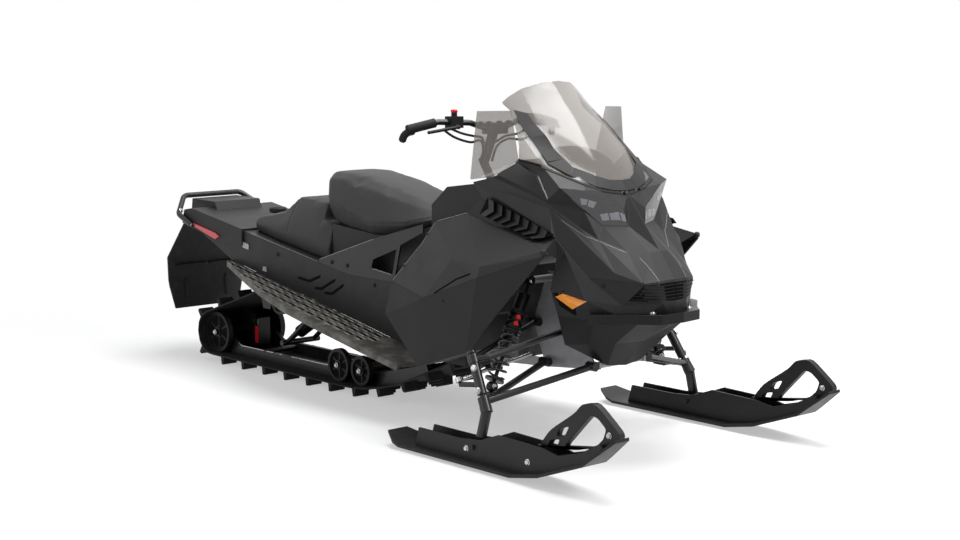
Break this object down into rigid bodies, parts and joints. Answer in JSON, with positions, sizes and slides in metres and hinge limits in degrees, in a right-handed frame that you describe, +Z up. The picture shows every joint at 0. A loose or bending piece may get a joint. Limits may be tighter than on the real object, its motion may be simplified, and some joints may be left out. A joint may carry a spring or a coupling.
{
  "type": "snowmobile",
  "caption": "Tracked snow vehicle with steered skis, a faceted cowl, smoked windscreen, straddle seat and a lugged rubber track on a slide-rail skid.",
  "frame": {"origin": "on the ground, below the middle of the machine's bounding box", "axes": "+X forward, +Y to the rider's left, +Z up"},
  "size_m": [3.142, 1.23, 1.269],
  "materials": {
    "frame_metal": "satin black paint",
    "board_metal": "matte",
    "grey_frame": "satin",
    "body_plastic": "satin moulded",
    "bumper_plastic": "gloss",
    "ski_plastic": "satin",
    "wheel_plastic": "matte",
    "rail_metal": "satin",
    "track_rubber": "matte",
    "rubber_flap": "matte",
    "grip_rubber": "matte",
    "seat_vinyl": "soft vinyl",
    "smoked_screen": "smoked gloss",
    "lamp_lens": "gloss",
    "red_lens": "gloss",
    "amber_lens": "gloss",
    "cast_block": "as cast",
    "shock_metal": "satin",
    "spring_steel": "gloss",
    "bright_rod": "bright"
  },
  "bodies": {
    "chassis": {"tunnel": "frame_metal", "running_boards": "board_metal", "tail_panel": "body_plastic", "tail_lights": "red_lens", "snow_flap": "rubber_flap", "rear_bumper": "frame_metal", "cargo_seat": "seat_vinyl", "rider_seat": "seat_vinyl", "seat_support": "frame_metal", "console": "body_plastic", "hood": "body_plastic", "headlamps": "lamp_lens", "nose_cowl": "body_plastic", "belly_pan": "body_plastic", "side_panel_right": "body_plastic", "side_panel_left": "body_plastic", "vent_panels": "body_plastic", "footwell_right": "body_plastic", "footwell_left": "body_plastic", "windshield": "smoked_screen", "wind_deflectors": "smoked_screen", "front_bumper": "bumper_plastic", "side_reflectors": "amber_lens", "gauge": "bumper_plastic", "engine": "cast_block", "front_frame": "grey_frame", "control_arms": "frame_metal", "front_shocks": "shock_metal", "front_springs": "spring_steel", "track": "track_rubber", "skid_rails": "rail_metal", "rear_idlers": "wheel_plastic", "rail_wheels": "wheel_plastic", "drive_axle": "wheel_plastic", "skid_arms": "rail_metal", "skid_shocks": "shock_metal"},
    "steering": {"handlebar": "frame_metal", "grips": "grip_rubber", "controls": "bumper_plastic"},
    "spindle_right": {"spindle_right": "frame_metal"},
    "spindle_left": {"spindle_left": "frame_metal"},
    "tie_rod_right": {"tie_rod_right": "bright_rod"},
    "tie_rod_left": {"tie_rod_left": "bright_rod"},
    "ski_right": {"ski_right": "ski_plastic", "ski_loop_right": "ski_plastic"},
    "ski_left": {"ski_left": "ski_plastic", "ski_loop_left": "ski_plastic"}
  },
  "joints": [
    {"name": "steering", "type": "hinge", "parent": "chassis", "child": "steering", "pos_m": [0.352, 0, 0.948], "axis": [-0.5683, 0, 0.8228], "range_deg": [-35, 35]},
    {"name": "kingpin_right", "type": "hinge", "parent": "chassis", "child": "spindle_right", "pos_m": [0.91, -0.512, 0.208], "axis": [-0.4996, 0.1298, 0.8565], "range_deg": [-30, 30]},
    {"name": "kingpin_left", "type": "hinge", "parent": "chassis", "child": "spindle_left", "pos_m": [0.91, 0.512, 0.208], "axis": [-0.4996, -0.1298, 0.8565], "range_deg": [-30, 30]},
    {"name": "tie_rod_right_pivot", "type": "hinge", "parent": "spindle_right", "child": "tie_rod_right", "pos_m": [0.775, -0.504, 0.262], "axis": [-0.4996, 0.1298, 0.8565], "range_deg": [-30, 30]},
    {"name": "tie_rod_left_pivot", "type": "hinge", "parent": "spindle_left", "child": "tie_rod_left", "pos_m": [0.775, 0.504, 0.262], "axis": [-0.4996, -0.1298, 0.8565], "range_deg": [-30, 30]},
    {"name": "ski_right_pitch", "type": "hinge", "parent": "spindle_right", "child": "ski_right", "pos_m": [0.926, -0.54, 0.066], "axis": [0, 1, 0], "range_deg": [-18, 18]},
    {"name": "ski_left_pitch", "type": "hinge", "parent": "spindle_left", "child": "ski_left", "pos_m": [0.926, 0.54, 0.066], "axis": [0, 1, 0], "range_deg": [-18, 18]}
  ],
  "couplings": [
    {"joint": "kingpin_right", "follows": "steering", "ratio": 0.85},
    {"joint": "kingpin_left", "follows": "steering", "ratio": 0.85},
    {"joint": "tie_rod_right_pivot", "follows": "steering", "ratio": -0.85},
    {"joint": "tie_rod_left_pivot", "follows": "steering", "ratio": -0.85}
  ]
}
